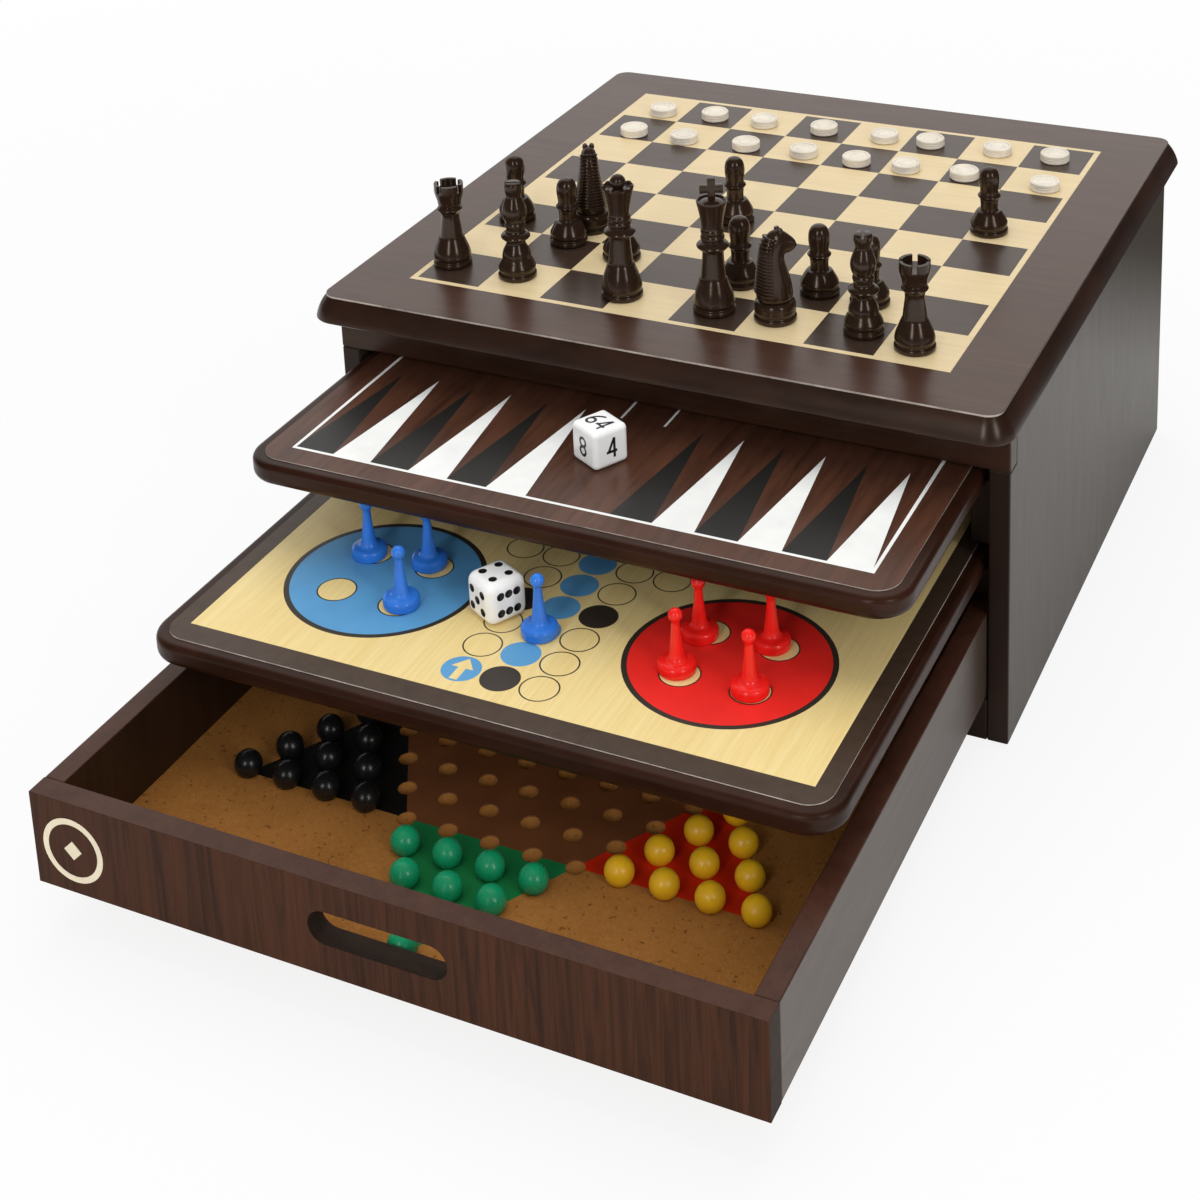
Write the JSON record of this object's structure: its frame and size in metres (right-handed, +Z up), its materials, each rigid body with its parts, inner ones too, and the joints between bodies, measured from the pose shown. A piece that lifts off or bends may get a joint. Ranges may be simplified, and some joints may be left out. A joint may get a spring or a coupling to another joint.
{
  "type": "games compendium box",
  "caption": "Wooden games box with an inlaid chess top, two sliding game boards on runners, a drawer with a drilled star board, and its men, pawns, balls and dice set out for play.",
  "frame": {"origin": "centre of the cabinet's footprint on the table", "axes": "+Z up, -Y towards the front where the boards and the drawer come out, +X to the right seen from the front"},
  "size_m": [0.285, 0.478, 0.194],
  "materials": {
    "top_wood": "semi-gloss dark brown foil",
    "side_wood": "satin dark brown foil",
    "rail_wood": "satin dark brown foil",
    "runner_wood": "satin dark brown",
    "board_wood": "satin red-brown mahogany",
    "drawer_front_wood": "satin streaked walnut foil",
    "drawer_side_wood": "satin red-brown foil",
    "chess_maple": "satin maple print",
    "chess_dark": "satin dark brown print",
    "print_white": "satin print",
    "print_black": "satin print",
    "ludo_maple": "satin maple print",
    "ink_black": "satin print",
    "ink_blue": "satin print",
    "ink_red": "satin print",
    "ink_green": "satin print",
    "ink_yellow": "satin print",
    "sheet_brown": "matt print",
    "floor_mdf": "matt speckled board",
    "motif_cream": "satin print",
    "ball_black": "glossy",
    "ball_green": "glossy",
    "ball_yellow": "glossy",
    "men_dark": "glossy dark brown",
    "draught_cream": "semi-gloss",
    "pawn_blue": "glossy",
    "pawn_red": "glossy",
    "die_white": "glossy",
    "pip_black": "satin",
    "cube_white": "glossy"
  },
  "bodies": {
    "cabinet": {"top_panel": "top_wood", "chess_field_light": "chess_maple", "chess_field_dark": "chess_dark", "front_rail": "rail_wood", "side_panel_left": "side_wood", "side_panel_right": "side_wood", "back_panel": "side_wood", "base_panel": "side_wood", "upper_runners": "runner_wood", "spacer_runners": "runner_wood", "lower_runners": "runner_wood"},
    "drawer": {"drawer_front": "drawer_front_wood", "drawer_back": "drawer_side_wood", "drawer_side_left": "drawer_side_wood", "drawer_side_right": "drawer_side_wood", "drawer_floor": "floor_mdf", "star_centre_sheet": "sheet_brown", "star_green_sheet": "ink_green", "star_black_sheet": "ink_black", "star_red_sheet": "ink_red", "star_blue_sheet": "ink_blue", "star_yellow_sheet": "ink_yellow", "star_white_sheet": "print_white", "balls_black": "ball_black", "balls_green": "ball_green", "balls_yellow": "ball_yellow", "drawer_motif": "motif_cream"},
    "ludo_board": {"ludo_board": "board_wood", "ludo_field": "ludo_maple", "ludo_black_marks": "ink_black", "ludo_blue_marks": "ink_blue", "ludo_red_marks": "ink_red", "ludo_green_marks": "ink_green", "ludo_yellow_marks": "ink_yellow", "ludo_pawns_blue": "pawn_blue", "ludo_pawns_red": "pawn_red", "die": "die_white", "die_pips": "pip_black"},
    "backgammon_board": {"backgammon_board": "board_wood", "backgammon_white_print": "print_white", "backgammon_black_print": "print_black"},
    "doubling_cube": {"doubling_cube": "cube_white", "doubling_cube_numbers": "pip_black"},
    "chess_men": {"chess_king": "men_dark", "chess_queen": "men_dark", "chess_bishops": "men_dark", "chess_knights": "men_dark", "chess_rooks": "men_dark", "chess_pawns": "men_dark"},
    "draughts": {"draughts": "draught_cream"}
  },
  "joints": [
    {"name": "drawer_slide", "type": "slide", "parent": "cabinet", "child": "drawer", "axis": [0, -1, 0], "range_m": [-0.2105, 0.014]},
    {"name": "ludo_board_slide", "type": "slide", "parent": "cabinet", "child": "ludo_board", "axis": [0, -1, 0], "range_m": [-0.1515, 0.065]},
    {"name": "backgammon_board_slide", "type": "slide", "parent": "cabinet", "child": "backgammon_board", "axis": [0, -1, 0], "range_m": [-0.012, 0.13]},
    {"name": "doubling_cube_lift", "type": "slide", "parent": "backgammon_board", "child": "doubling_cube", "axis": [0, 0, 1], "range_m": [0, 0.06]},
    {"name": "chess_men_lift", "type": "slide", "parent": "cabinet", "child": "chess_men", "axis": [0, 0, 1], "range_m": [0, 0.06]},
    {"name": "draughts_lift", "type": "slide", "parent": "cabinet", "child": "draughts", "axis": [0, 0, 1], "range_m": [0, 0.06]}
  ]
}
